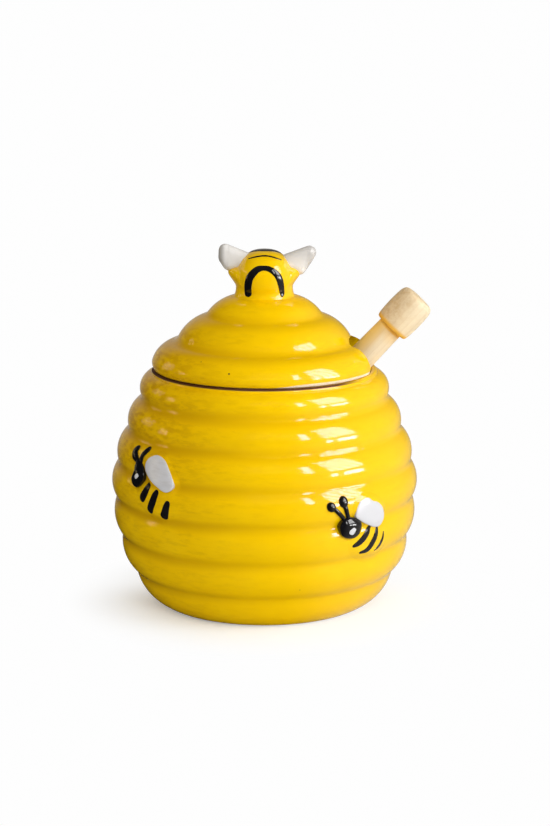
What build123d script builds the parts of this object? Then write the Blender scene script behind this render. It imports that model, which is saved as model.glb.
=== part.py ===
from build123d import *
import os
from math import cos, degrees, hypot, pi, radians, sin

# Beehive honey pot with a lift-off lid and a wooden dipper.  Millimetres.
# The origin is the middle of the foot on the table, +Z is up, +X points to the lid's notch,
# which the dipper leans out through, and -Y is the front.  Azimuths turn from -Y towards +X.

# ---- Pot -------------------------------------------------------------------------------------
foot_radius = 37.2
# Each coil of the wall from the foot up: its height, the radius of the seam above it, its bulge
pot_coils = [
    (12.3, 46.9, 2.05),
    (13.0, 51.6, 2.0),
    (13.8, 53.5, 2.0),
    (12.8, 52.8, 2.2),
    (12.1, 49.0, 2.1),
    (11.2, 43.9, 2.35),
    (9.0, 40.8, 2.4),
]
pot_seam_round = 2.6
pot_wall = 4.0
inner_coil_bulge = 0.7
lip_thickness = 2.7
lip_crown = 1.2
floor_thickness = 5.5
floor_radius = 34.0
foot_ring_width = 4.0
foot_recess = 1.6
foot_edge_chamfer = 0.6

# ---- Lid -------------------------------------------------------------------------------------
lid_seat_gap = 0.3
lid_rim_radius = 40.4
lid_rim_band = 2.8
lid_rim_undercut = 0.6
# Each coil of the lid from the rim up: its height, the radius of the seam above it, its bulge
lid_coils = [
    (6.7, 31.8, 1.75),
    (9.6, 21.0, 1.8),
    (7.1, 9.5, 1.55),
]
lid_seam_round = 4.0
lid_wall = 4.0
flange_clearance = 0.8
flange_thickness = 3.2
flange_depth = 4.5
flange_edge_chamfer = 0.8
notch_half_width = 15.0
notch_height = 11.5
notch_corner_radius = 10.0
notch_depth = 18.0

# ---- Dipper ----------------------------------------------------------------------------------
dipper_lean = 46.6
dipper_gap = 0.2
dipper_length = 136.5
cap_length = 13.7
cap_shoulder_radius = 6.5
cap_end_radius = 6.1
cap_edge_radius = 1.1
handle_waist_radius = 4.7
handle_radius = 5.2
disc_count = 7
disc_thickness = 2.5
disc_spacing = 4.4
disc_edge_chamfer = 0.7
head_core_radius = 4.6
head_end_radius = 6.0
head_belly_radius = 11.0

# ---- Relief bees: one on the left and one on the right of the front, and again at the back ----
bee_face_azimuths = {"front": 0.0, "back": 180.0}
bee_azimuths = {"left": -53.8, "right": 33.3}
bee_heights = {"left": 52.8, "right": 38.0}
bee_leans = {"left": -31.0, "right": -27.0}
relief_root = 1.0
bee_body_size = (19.6, 12.4)
bee_body_place = (10.5, -1.4)
bee_body_rise = 1.4
bee_head_sizes = {"left": (7.8, 7.0), "right": (9.0, 7.8)}
bee_head_rise = 2.0
bee_wing_sizes = {"left": (9.6, 9.2), "right": (9.2, 8.8)}
bee_wing_places = {"left": ((3.0, 6.8), (10.4, 6.4)), "right": ((4.4, 8.0), (9.6, 7.9))}
bee_wing_rise = 1.3
antenna_length = 10.3
antenna_root_radius = 0.7
antenna_end_radius = 1.1
antenna_leans = {"left": 104.0, "right": 116.0}
antenna_spreads = {"left": 22.0, "right": 14.0}
antenna_ball_radius = {"left": 0.0, "right": 1.5}

# ---- Knob bee on the lid ---------------------------------------------------------------------
knob_neck_radius = 10.3
knob_neck_flare = 0.8
knob_neck_height = 7.5
knob_body_size = (22.8, 26.0, 17.4)
knob_body_lift = 7.8
knob_body_set_back = 1.5
knob_head_size = (14.0, 11.0, 12.4)
knob_head_drop = 1.6
knob_head_sink = 4.0
knob_root_size = (13.0, 12.0, 7.6)
knob_root_place = (7.6, 8.4)
knob_root_lean = 32.0
# Outline of each wing seen from the tail: distance out and height over the lid, root top first
knob_wings = {
    "left": [(4.0, 14.2), (14.6, 19.0), (17.4, 14.2), (12.9, 7.9), (6.5, 7.0)],
    "right": [(6.0, 14.0), (16.6, 18.2), (19.2, 14.2), (12.4, 6.2), (6.5, 6.5)],
}
knob_wing_thickness = 7.0
knob_wing_tip_round = 2.4
knob_wing_edge_round = 2.2


def stacked_seams(start, coils):
    """Seam points (radius, height) of a stack of coils that begins at the start point."""
    seams = [start]
    for height, seam_radius, _ in coils:
        seams.append((seam_radius, seams[-1][1] + height))
    return seams


def bulged_arc(start, end, bulge):
    """Arc between two profile points that bulges to the right of the way from start to end."""
    run, rise = end[0] - start[0], end[1] - start[1]
    length = hypot(run, rise)
    middle = (
        (start[0] + end[0]) / 2 + bulge * rise / length,
        (start[1] + end[1]) / 2 - bulge * run / length,
    )
    return ThreePointArc(start, middle, end)


def coil_arcs(seams, coils):
    """One outward arc for each coil of a stack."""
    return [bulged_arc(low, high, coil[2]) for low, high, coil in zip(seams, seams[1:], coils)]


def inset(points, distance):
    """The points moved to the left of the way along them, at right angles to their mean slope."""
    moved = []
    for i, (radius, height) in enumerate(points):
        before, after = points[max(i - 1, 0)], points[min(i + 1, len(points) - 1)]
        run, rise = after[0] - before[0], after[1] - before[1]
        length = hypot(run, rise)
        moved.append((radius - distance * rise / length, height + distance * run / length))
    return moved


def round_seams(profile, seams, radius):
    """The profile with the valleys between its coils rounded."""
    valleys = [
        vertex
        for vertex in profile.vertices()
        if any(hypot(vertex.X - x, vertex.Y - y) < 0.01 for x, y in seams[1:-1])
    ]
    return fillet(valleys, radius)


def straight(*points):
    """Lines that join the profile points in turn."""
    return [Line(start, end) for start, end in zip(points, points[1:])]


def turned(profile):
    """Solid of revolution about Z from half a profile drawn as (radius, height)."""
    return revolve(Plane.XZ * profile, Axis.Z)


def egg(size):
    """Ball stretched to three full sizes."""
    return scale(Sphere(0.5), by=size)


# Places that several pieces share
pot_seams = stacked_seams((foot_radius, 0), pot_coils)
shoulder_radius, shoulder_height = pot_seams[-1]
mouth_radius = shoulder_radius - lip_thickness
pot_height = shoulder_height + lip_crown
inner_seams = inset(pot_seams, pot_wall)[1:-1]
lid_rim_bottom = pot_height + lid_seat_gap
lid_seams = stacked_seams((lid_rim_radius, lid_rim_bottom + lid_rim_band), lid_coils)
lid_top = lid_seams[-1][1]
relief_level = sum(coil[2] for coil in pot_coils) / len(pot_coils)


# ---- Pot -------------------------------------------------------------------------------------
def make_pot():
    lip_inside = (mouth_radius, shoulder_height)
    lip_top = (shoulder_radius - lip_thickness / 2, pot_height)
    inner_stations = [lip_inside] + inner_seams[::-1] + [(floor_radius, floor_thickness)]
    foot_inside = foot_radius - foot_ring_width
    edges = coil_arcs(pot_seams, pot_coils)
    edges.append(ThreePointArc(pot_seams[-1], lip_top, lip_inside))
    for high, low in zip(inner_stations, inner_stations[1:]):
        edges.append(bulged_arc(high, low, -inner_coil_bulge))
    edges += straight(
        (floor_radius, floor_thickness),
        (0, floor_thickness),
        (0, foot_recess),
        (foot_inside - foot_recess, foot_recess),
        (foot_inside, 0),
        (foot_radius, 0),
    )
    profile = make_face(edges)
    profile = chamfer(profile.vertices().group_by(Axis.Y)[0], foot_edge_chamfer)
    return turned(round_seams(profile, pot_seams, pot_seam_round))


def make_pot_envelope():
    """The pot's outside as one filled solid, which trims what is laid on the wall."""
    edges = coil_arcs(pot_seams, pot_coils)
    edges += straight(pot_seams[-1], (0, shoulder_height), (0, 0), pot_seams[0])
    return turned(round_seams(make_face(edges), pot_seams, pot_seam_round))


# ---- Lid -------------------------------------------------------------------------------------
def make_lid():
    flange_radius = mouth_radius - flange_clearance
    flange_inside = flange_radius - flange_thickness
    flange_bottom = lid_rim_bottom - flange_depth
    rim_inside = lid_rim_radius - lid_rim_undercut
    inner = inset(lid_seams, lid_wall)[1:]
    edges = [bulged_arc((rim_inside, lid_rim_bottom), lid_seams[0], lid_rim_undercut / 2)]
    edges += coil_arcs(lid_seams, lid_coils)
    edges += straight(lid_seams[-1], (0, lid_top), (0, inner[-1][1]), inner[-1])
    inner_stations = inner[::-1] + [(flange_inside, lid_rim_bottom)]
    for high, low in zip(inner_stations, inner_stations[1:]):
        edges.append(bulged_arc(high, low, -inner_coil_bulge))
    edges += straight(
        (flange_inside, lid_rim_bottom),
        (flange_inside, flange_bottom),
        (flange_radius, flange_bottom),
        (flange_radius, lid_rim_bottom),
        (rim_inside, lid_rim_bottom),
    )
    profile = make_face(edges)
    profile = chamfer(profile.vertices().group_by(Axis.Y)[0], flange_edge_chamfer)
    return turned(round_seams(profile, lid_seams, lid_seam_round)) - make_notch_cutter()


def make_notch_cutter():
    """Arch that runs in from the rim on the +X side, open at the bottom."""
    cutter_bottom = lid_rim_bottom - 2 * flange_depth
    arch_top = lid_rim_bottom + notch_height
    arch = Pos(0, (cutter_bottom + arch_top) / 2) * Rectangle(
        2 * notch_half_width, arch_top - cutter_bottom
    )
    arch = fillet(arch.vertices().group_by(Axis.Y)[-1], notch_corner_radius)
    inner_end = lid_rim_radius - notch_depth
    return extrude(Plane.YZ.offset(inner_end) * arch, 2 * notch_depth)


# ---- Knob bee --------------------------------------------------------------------------------
def make_knob_body(lid):
    neck_foot = lid_top - lid_wall / 2
    neck_length = lid_top + knob_neck_height - neck_foot
    neck = Pos(0, 0, neck_foot + neck_length / 2) * Cone(
        knob_neck_radius, knob_neck_radius + knob_neck_flare, neck_length
    )
    body = neck + Pos(0, knob_body_set_back, lid_top + knob_body_lift) * egg(knob_body_size)
    for toward in (-1, 1):
        root = Rot(0, -toward * knob_root_lean, 0) * egg(knob_root_size)
        out, lift = knob_root_place
        body += Pos(toward * out, knob_body_set_back, lid_top + lift) * root
    return body - lid


def make_knob_head(body):
    set_back = knob_body_set_back + (knob_body_size[1] + knob_head_size[1]) / 2 - knob_head_sink
    head = Pos(0, set_back, lid_top + knob_body_lift - knob_head_drop) * egg(knob_head_size)
    return head - body


def make_knob_wing(side, body):
    toward = {"left": -1, "right": 1}[side]
    corners = [(toward * out, lid_top + lift) for out, lift in knob_wings[side]]
    outline = make_face(Polyline(*corners, close=True))
    tips = outline.vertices().filter_by(lambda vertex: abs(vertex.X) > knob_neck_radius)
    outline = fillet(tips, knob_wing_tip_round)
    middle = Plane.XZ.offset(-knob_body_set_back)
    wing = extrude(middle * outline, knob_wing_thickness / 2, both=True)
    return fillet(wing.edges(), knob_wing_edge_round) - body


# ---- Relief bees -----------------------------------------------------------------------------
def wall_radius(height):
    """Radius of the pot's outside at the crests of its coils, at a height."""
    for (low_radius, low), (high_radius, high) in zip(pot_seams, pot_seams[1:]):
        if low <= height <= high:
            share = (height - low) / (high - low)
            return low_radius + share * (high_radius - low_radius) + relief_level
    raise ValueError("height is off the wall")


def wall_place(face, side, along, across):
    """Place on the wall, along and across a bee's body from its head: +Z out, +Y up the wall."""
    height, lean = bee_heights[side], radians(bee_leans[side])
    sideways = along * cos(lean) - across * sin(lean)
    upward = along * sin(lean) + across * cos(lean)
    azimuth = bee_face_azimuths[face] + bee_azimuths[side] + degrees(sideways / wall_radius(height))
    radius = wall_radius(height + upward)
    return Rot(0, 0, azimuth) * Pos(0, -radius, height + upward) * Rot(90, 0, 0)


def relief_egg(face, side, place, size, rise):
    """Egg laid in the wall along the bee, so that it stands proud of the coils by the rise."""
    thick = 2 * (rise + relief_root)
    middle = wall_place(face, side, *place) * Pos(0, 0, -relief_root)
    return middle * Rot(0, 0, bee_leans[side]) * egg((*size, thick))


def make_antenna(face, side, turn):
    """Stalk that widens outward from the head along the wall, with a ball at its tip or none."""
    direction = radians(turn - bee_leans[side])
    tip = (antenna_length * cos(direction), antenna_length * sin(direction))
    middle = wall_place(face, side, tip[0] / 2, tip[1] / 2)
    stalk = Cone(antenna_root_radius, antenna_end_radius, antenna_length)
    antenna = middle * Rot(0, 0, turn) * Rot(0, 90, 0) * stalk
    if antenna_ball_radius[side]:
        antenna += wall_place(face, side, *tip) * Sphere(antenna_ball_radius[side])
    return antenna


def make_relief_bee(face, side, envelope):
    body = relief_egg(face, side, bee_body_place, bee_body_size, bee_body_rise)
    head = relief_egg(face, side, (0, 0), bee_head_sizes[side], bee_head_rise)
    for toward in (-1, 1):
        head += make_antenna(face, side, antenna_leans[side] + toward * antenna_spreads[side])
    wings = Part()
    for place in bee_wing_places[side]:
        wings += relief_egg(face, side, place, bee_wing_sizes[side], bee_wing_rise)
    head = head - envelope
    body = body - envelope - head
    wings = wings - envelope - head - body
    return body, head, wings


# ---- Dipper ----------------------------------------------------------------------------------
def disc_radius(index):
    """Radius of one disc of the dipper's head, which swells to a belly in the middle."""
    swell = sin(pi * (index + 0.5) / disc_count)
    return head_end_radius + (head_belly_radius - head_end_radius) * swell


def make_dipper():
    """The dipper along +Z, with the tip of its head at the origin."""
    edges = []
    corner = (0, 0)
    for index in range(disc_count):
        radius, start = disc_radius(index), index * disc_spacing
        finish = start + disc_thickness
        groove_start = (corner[0], start)
        corner = (head_core_radius, finish)
        edges += straight(
            groove_start,
            (radius - disc_edge_chamfer, start),
            (radius, start + disc_edge_chamfer),
            (radius, finish - disc_edge_chamfer),
            (radius - disc_edge_chamfer, finish),
            corner,
        )
        if index < disc_count - 1:
            edges += straight(corner, (head_core_radius, finish + disc_spacing - disc_thickness))
    cap_start = dipper_length - cap_length
    handle_start = (handle_waist_radius, corner[1])
    edges += straight(corner, handle_start)
    edges.append(
        bulged_arc(
            handle_start, (handle_waist_radius, cap_start), handle_radius - handle_waist_radius
        )
    )
    edges += straight(
        (handle_waist_radius, cap_start),
        (cap_shoulder_radius, cap_start),
        (cap_end_radius, dipper_length),
        (0, dipper_length),
        (0, 0),
    )
    profile = make_face(edges)
    cap_corners = [
        vertex
        for vertex in profile.vertices()
        if vertex.Y > cap_start - cap_length / 2 and vertex.X > handle_radius
    ]
    return turned(fillet(cap_corners, cap_edge_radius))


def dipper_place():
    """Lying on the lip, with its head down against the pot's floor or its far wall."""
    lean = radians(dipper_lean)
    crown_radius = ((lip_thickness / 2) ** 2 + lip_crown**2) / (2 * lip_crown)
    crown_centre = (shoulder_radius - lip_thickness / 2, pot_height - crown_radius)
    axis_height = (
        crown_centre[1] * cos(lean)
        - crown_centre[0] * sin(lean)
        + crown_radius
        + dipper_gap
        + handle_radius
    )
    foot = (-axis_height * sin(lean), axis_height * cos(lean))
    (low_radius, low), (high_radius, high) = inner_seams[:2]
    slope = (high_radius - low_radius) / (high - low)
    rim = disc_radius(0)
    slides = []
    for corner_radius, corner_along in ((rim - disc_edge_chamfer, 0), (rim, disc_edge_chamfer)):
        inward, upward = corner_radius * sin(lean), corner_radius * cos(lean)
        to_floor = (floor_thickness + dipper_gap + upward - foot[1]) / sin(lean)
        wall_there = low_radius + slope * (foot[1] + upward - low) - dipper_gap
        to_wall = (inward - foot[0] - wall_there) / (cos(lean) + slope * sin(lean))
        slides.append(max(to_floor, to_wall) - corner_along)
    slide = max(slides)
    tip = (foot[0] + slide * cos(lean), 0, foot[1] + slide * sin(lean))
    return Pos(*tip) * Rot(0, 90 - dipper_lean, 0)


# ---- Assembly --------------------------------------------------------------------------------
def make_nodes():
    nodes = {"pot_body": make_pot()}
    lid = make_lid()
    nodes["lid_shell"] = lid
    knob_body = make_knob_body(lid)
    nodes["knob_bee_body"] = knob_body
    nodes["knob_bee_head"] = make_knob_head(knob_body)
    for side in knob_wings:
        nodes[f"knob_bee_wing_{side}"] = make_knob_wing(side, knob_body)
    envelope = make_pot_envelope()
    for face in bee_face_azimuths:
        for side in bee_azimuths:
            body, head, wings = make_relief_bee(face, side, envelope)
            nodes[f"{face}_{side}_bee_body"] = body
            nodes[f"{face}_{side}_bee_head"] = head
            nodes[f"{face}_{side}_bee_wings"] = wings
    nodes["honey_dipper"] = dipper_place() * make_dipper()
    return nodes


os.makedirs("parts", exist_ok=True)
for node_name, node_shape in make_nodes().items():
    export_step(node_shape, f"parts/{node_name}.step")
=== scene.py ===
from math import copysign, cos, hypot, pi, radians, sin, sqrt

import bmesh
import bpy
import numpy as np
from bpy.props import FloatProperty, FloatVectorProperty, PointerProperty
from mathutils import Matrix, Vector
from mathutils.bvhtree import BVHTree
from mathutils.interpolate import poly_3d_calc


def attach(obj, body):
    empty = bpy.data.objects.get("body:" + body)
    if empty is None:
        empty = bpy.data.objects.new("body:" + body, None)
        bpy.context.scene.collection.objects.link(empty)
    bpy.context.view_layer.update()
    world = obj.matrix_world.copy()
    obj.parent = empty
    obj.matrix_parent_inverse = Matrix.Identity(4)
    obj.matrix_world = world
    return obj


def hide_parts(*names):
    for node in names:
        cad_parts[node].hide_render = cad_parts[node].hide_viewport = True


bl_info = {
    "name": "Beehive honey pot",
    "version": (1, 0, 0),
    "blender": (4, 5, 0),
    "location": "3D View > Sidebar > Honey pot",
    "description": "Glazes, painted bees, wooden dipper and studio for the beehive honey pot",
    "category": "Object",
}

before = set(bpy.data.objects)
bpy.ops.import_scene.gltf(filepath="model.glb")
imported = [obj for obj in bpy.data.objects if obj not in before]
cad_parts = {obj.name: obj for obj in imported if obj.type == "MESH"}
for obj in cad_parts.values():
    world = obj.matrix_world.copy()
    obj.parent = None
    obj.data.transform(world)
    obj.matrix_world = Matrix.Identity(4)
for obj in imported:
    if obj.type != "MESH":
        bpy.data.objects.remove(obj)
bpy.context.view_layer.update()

MM = 0.001  # drawings are in millimetres, Blender is in metres
WHITE = 0.99  # the white of the table and the backdrop
ROOM = (1.0, 0.92, 0.80, 1.0)  # the warm white of the room's light

# ---- Shape of the pot's wall, as in the solids -------------------------------------------------
FOOT_RADIUS = 37.2
# Each coil from the foot up: its height, the radius of the seam above it, its bulge
POT_COILS = (
    (12.3, 46.9, 2.05),
    (13.0, 51.6, 2.0),
    (13.8, 53.5, 2.0),
    (12.8, 52.8, 2.2),
    (12.1, 49.0, 2.1),
    (11.2, 43.9, 2.35),
    (9.0, 40.8, 2.4),
)
SEAM_ROUND = 2.6
POT_SEAM_HEIGHTS = (12.3, 25.3, 39.1, 51.9, 64.0, 75.2)
LID_SEAM_HEIGHTS = (95.2, 104.8)
LID_BOTTOM = 85.7
LID_TOP = 111.9

# Pinholes in the glaze: place and radius
PINHOLES = (
    (-12.0, -37.75, 90.35, 0.42), (-21.8, -30.2, 93.1, 0.25), (-30.3, 24.6, 97.5, 0.35),
    (41.2, 36.1, 45.0, 0.4), (-20.6, 47.6, 63.0, 0.3), (12.4, -48.9, 16.5, 0.2),
)

# ---- Relief bees -------------------------------------------------------------------------------
# A bee is drawn flat in millimetres: along its body from the head, and across it to the wings.
BEE_FACES = {"front": 0.0, "back": 180.0}
BEE_SIDES = {
    "left": {
        "azimuth": -53.8,
        "height": 52.8,
        "lean": -31.0,
        # Swellings of the wall: along, across, half length, half width, rise, softness
        "swells": ((11.8, -0.6, 12.0, 8.0, 0.5, 0.75), (8.0, 8.0, 10.4, 6.4, 0.7, 0.4)),
        "wing": (
            (0.4, 5.8), (0.0, 7.8), (0.9, 9.8), (2.7, 11.9), (5.4, 12.9), (8.0, 13.0), (11.0, 12.2),
            (13.8, 11.0), (15.8, 9.6), (16.1, 7.8), (15.1, 5.9), (13.1, 4.9), (10.3, 4.6), (7.2, 4.2),
            (4.4, 4.3), (2.1, 4.7),
        ),
        "head": (
            (-4.3, 2.9), (-2.9, 4.2), (-1.1, 4.5), (0.7, 3.9), (2.7, 2.6), (3.4, 0.0), (2.4, -2.9),
            (0.3, -3.8), (-1.4, -2.8), (-2.3, -0.1), (-3.2, 1.7),
        ),
        "eye": ((0.6, 1.7), (1.8, 1.4), (1.4, -0.1), (0.2, 0.2)),
        # Brush strokes: points with half widths
        "antennae": (
            (
                (-3.0, 2.9, 0.9), (-5.4, 3.1, 1.1), (-7.6, 2.9, 1.55), (-8.9, 3.5, 1.5), (-8.9, 4.7, 1.1),
                (-8.1, 5.6, 0.75),
            ),
            ((-2.2, 3.9, 0.9), (-3.3, 5.2, 0.9), (-3.8, 6.4, 0.95), (-3.6, 8.0, 1.0), (-3.1, 9.9, 0.8)),
        ),
        "balls": (),
        "stripes": (
            ((6.7, 3.3, 0.8), (6.9, 0.8, 1.35), (6.9, -2.3, 1.65), (6.6, -5.3, 1.6)),
            ((11.4, 3.9, 0.8), (11.5, 1.1, 1.35), (11.9, -1.9, 1.55), (12.4, -5.9, 1.6)),
            ((17.1, 3.6, 1.0), (17.6, 1.4, 1.3), (18.2, -0.9, 1.5), (18.6, -3.5, 1.65)),
        ),
    },
    "right": {
        "azimuth": 33.9,
        "height": 38.2,
        "lean": -27.0,
        "swells": ((9.8, -2.2, 11.5, 8.4, 0.45, 0.75), (4.8, 7.4, 9.0, 6.6, 0.7, 0.4)),
        "wing": (
            (-1.2, 3.6), (-1.9, 6.3), (-1.7, 8.8), (-0.4, 10.4), (1.3, 11.4), (3.5, 11.2), (6.2, 11.5),
            (8.9, 10.7), (10.9, 8.8), (11.6, 6.5), (11.0, 4.1), (8.6, 2.9), (5.8, 2.7), (2.5, 2.8),
            (0.4, 3.1),
        ),
        "head": (
            (-2.7, 2.9), (0.4, 3.0), (2.5, 2.1), (3.4, -1.0), (2.3, -3.3), (-0.4, -4.5), (-3.3, -4.3),
            (-5.4, -2.4), (-5.8, 0.1), (-4.5, 1.9),
        ),
        "eye": ((-2.3, -0.7), (-1.5, 0.4), (-0.1, 0.1), (0.2, -1.1), (-0.2, -2.4), (-1.5, -2.6), (-2.3, -1.9)),
        "antennae": (
            ((-4.0, 0.9, 0.75), (-6.0, 1.7, 0.75), (-8.4, 2.5, 0.8), (-10.6, 3.1, 0.8)),
            ((-2.6, 1.6, 0.7), (-4.4, 3.1, 0.75), (-5.9, 4.5, 0.85), (-7.0, 5.6, 0.9)),
        ),
        # Balls at the tips of the antennae: along, across, half length, half width, turn
        "balls": ((-11.7, 3.2, 1.85, 1.65, -20.0), (-7.9, 6.5, 2.1, 1.75, -52.0)),
        "stripes": (
            ((6.4, 3.1, 0.6), (6.6, 0.2, 1.15), (6.1, -2.4, 1.25), (4.9, -4.7, 1.05), (3.4, -6.4, 0.45)),
            ((10.6, 4.2, 0.5), (11.3, 0.9, 1.1), (11.3, -2.4, 1.2), (10.3, -5.3, 1.0), (7.8, -7.4, 0.4)),
            ((15.4, 3.2, 0.25), (16.2, 0.5, 0.7), (15.9, -2.0, 0.75), (14.4, -4.5, 0.2)),
        ),
    },
}

# ---- Knob bee ----------------------------------------------------------------------------------
# Bands drawn as seen a little from above: across, up from the middle of the pot, half width
KNOB_VIEW_TILT = 12.05
KNOB_VIEW_HEIGHT = 68.6
KNOB_ARCH = (
    (-5.56, 41.0, 1.2), (-5.76, 44.2, 1.3), (-5.46, 46.6, 1.37), (-4.58, 48.5, 1.37), (-2.44, 50.5, 1.2),
    (-0.5, 51.0, 0.95), (1.46, 50.8, 0.98), (3.32, 49.8, 1.1), (4.68, 48.5, 1.2), (5.5, 46.8, 1.2),
    (6.0, 44.7, 1.05), (6.3, 42.3, 0.8), (6.34, 41.0, 0.3),
)
KNOB_LINE = (
    (-5.7, 54.6, 0.18), (-3.3, 55.2, 0.28), (-0.8, 55.6, 0.3), (0.7, 55.6, 0.3), (2.45, 55.3, 0.27),
    (4.2, 54.8, 0.25), (6.2, 54.2, 0.16),
)
KNOB_CENTRE = (1.5, 118.5)  # set back and height of the middle of the knob bee's body
KNOB_RADIUS = 8.7
# Band over the top: along the arc from the crest, set back, half width
KNOB_BAND = ((-5.0, 2.0, 1.2), (-3.0, 2.2, 2.7), (0.3, 2.3, 3.7), (3.4, 2.2, 2.7), (5.8, 2.0, 1.2))
# Neck of the figure from inside the lid up: radius, height
KNOB_NECK = (
    (0.0, 107.5), (11.6, 107.5), (11.4, 111.3), (10.8, 111.9), (10.45, 112.7), (10.25, 113.8), (10.15, 115.2),
    (10.0, 117.2), (9.6, 119.4), (0.0, 121.5),
)
KNOB_BODY = (0.0, 1.5, 118.5, 9.9, 13.0, 9.4, 0.84)  # centre, half sizes, roundness
# Shoulders under the wings and the wings, each a skin over eggs: centre and half sizes
KNOB_SHOULDER = (
    (5.6, 1.5, 115.6, 4.0, 10.4, 3.4), (9.3, 1.5, 119.4, 2.4, 7.0, 2.8), (11.0, 1.5, 120.1, 2.1, 3.6, 2.1),
)
KNOB_WINGS = {
    "left": (
        (-14.0, 1.5, 127.6, 2.4, 2.4, 2.5), (-14.3, 1.5, 125.2, 2.2, 2.6, 2.4),
        (-12.6, 1.5, 122.9, 2.4, 3.3, 2.5), (-6.2, 1.5, 124.0, 2.6, 3.4, 2.9),
    ),
    "right": (
        (16.1, 1.5, 127.0, 2.5, 2.5, 2.4), (14.7, 1.5, 125.2, 2.8, 2.9, 2.7),
        (12.7, 1.5, 121.6, 2.3, 3.3, 2.7), (8.2, 1.5, 123.6, 2.6, 3.4, 2.9),
    ),
}

# ---- Dipper ------------------------------------------------------------------------------------
DIPPER_LEAN = 46.6
DIPPER_LENGTH = 136.5
DIPPER_TIP = (-38.906, 0.0, 10.919)
CAP_LENGTH = 13.7
# The cap as turned, slightly barrelled: radius, place along the dipper
CAP_PROFILE = (
    (0.0, 122.9), (4.6, 122.9), (5.9, 122.75), (6.4, 123.1), (6.75, 124.2), (6.95, 126.5), (7.05, 129.5),
    (7.0, 132.4), (6.8, 134.9), (6.3, 136.5), (5.3, 137.35), (3.6, 137.65), (0.0, 137.75),
)


class HoneyPotGlaze(bpy.types.PropertyGroup):
    yellow: FloatVectorProperty(
        name="Yellow", description="Colour of the yellow glaze where it lies even",
        subtype="COLOR", size=4, min=0, max=1, default=(0.93, 0.58, 0.0006, 1),
    )
    # The pooled colour is also the colour of the painted shade on the dim left side.
    pooled_and_shaded: FloatVectorProperty(
        name="Pooled yellow", description="Colour of the yellow glaze where it has run together",
        subtype="COLOR", size=4, min=0, max=1, default=(0.58, 0.30, 0.0004, 1),
    )
    thin: FloatVectorProperty(
        name="Thin yellow", description="Colour of the yellow glaze on crests and edges",
        subtype="COLOR", size=4, min=0, max=1, default=(0.97, 0.64, 0.004, 1),
    )
    white: FloatVectorProperty(
        name="White", description="Colour of the white glaze on wings and eyes",
        subtype="COLOR", size=4, min=0, max=1, default=(0.65, 0.655, 0.69, 1),
    )
    black: FloatVectorProperty(
        name="Black", description="Colour of the black glaze on heads, stripes and antennae",
        subtype="COLOR", size=4, min=0, max=1, default=(0.006, 0.006, 0.008, 1),
    )
    bisque: FloatVectorProperty(
        name="Bisque", description="Colour of the bare clay under the foot and the lid",
        subtype="COLOR", size=4, min=0, max=1, default=(0.96, 0.84, 0.65, 1),
    )
    roughness: FloatProperty(
        name="Roughness", description="Roughness of the fired glaze", default=0.07, min=0, max=1,
        subtype="FACTOR",
    )


class HoneyPotBees(bpy.types.PropertyGroup):
    glaze_thickness: FloatProperty(
        name="Stroke thickness", description="How far the painted strokes stand proud of the wall",
        default=0.22 * MM, min=0, max=1 * MM, unit="LENGTH", precision=5,
    )
    wing_rise: FloatProperty(
        name="Wing rise", description="How far the wings stand proud of the swollen wall",
        default=0.55 * MM, min=0, max=2 * MM, unit="LENGTH", precision=5,
    )
    head_rise: FloatProperty(
        name="Head rise", description="How far the heads stand proud of the swollen wall",
        default=1.8 * MM, min=0, max=3 * MM, unit="LENGTH", precision=5,
    )
    antenna_rise: FloatProperty(
        name="Antenna rise", description="How far the antennae stand proud of the wall",
        default=0.8 * MM, min=0, max=2 * MM, unit="LENGTH", precision=5,
    )


class HoneyPotWood(bpy.types.PropertyGroup):
    light: FloatVectorProperty(
        name="Light beech", description="Colour of the beech between its grain lines",
        subtype="COLOR", size=4, min=0, max=1, default=(0.87, 0.735, 0.52, 1),
    )
    # Also the brown of the cap's blotches and of its painted shade.
    dark: FloatVectorProperty(
        name="Beech grain", description="Colour of the beech's grain lines",
        subtype="COLOR", size=4, min=0, max=1, default=(0.62, 0.42, 0.20, 1),
    )
    # Also the orange of the painted bounce light under the cap.
    stain: FloatVectorProperty(
        name="Honey stain", description="Colour that honey leaves in the groove under the cap",
        subtype="COLOR", size=4, min=0, max=1, default=(0.86, 0.48, 0.05, 1),
    )


class HoneyPotStudio(bpy.types.PropertyGroup):
    window_level: FloatProperty(
        name="Window level", description="Light of the window on the right", default=4.15, min=0,
    )
    pane_level: FloatProperty(
        name="Pane level", description="Brightness of the window's panes in the glaze", default=11.0, min=0,
    )
    side_level: FloatProperty(
        name="Side level", description="Light off the bright table on the right", default=1.3, min=0,
    )
    fill_level: FloatProperty(
        name="Fill level", description="Soft light from the front", default=3.45, min=0,
    )
    room_level: FloatProperty(
        name="Room level", description="Brightness of the pale room around the table", default=0.44,
        min=0, max=1, subtype="FACTOR",
    )
    camera_distance: FloatProperty(
        name="Camera distance", description="From the pot's middle to the camera", default=0.8,
        min=0.1, unit="LENGTH",
    )
    camera_pitch: FloatProperty(
        name="Camera pitch", description="How far the camera looks down",
        default=radians(12.05), subtype="ANGLE",
    )


# ---- Meshes ------------------------------------------------------------------------------------
def new_object(name, vertices, faces):
    """Smooth-shaded mesh object from points in millimetres."""
    mesh = bpy.data.meshes.new(name)
    mesh.from_pydata([Vector(v) * MM for v in vertices], [], faces)
    mesh.validate()
    work = bmesh.new()
    work.from_mesh(mesh)
    bmesh.ops.recalc_face_normals(work, faces=work.faces)
    work.to_mesh(mesh)
    work.free()
    mesh.polygons.foreach_set("use_smooth", [True] * len(mesh.polygons))
    piece = bpy.data.objects.new(name, mesh)
    bpy.context.scene.collection.objects.link(piece)
    return piece


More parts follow.
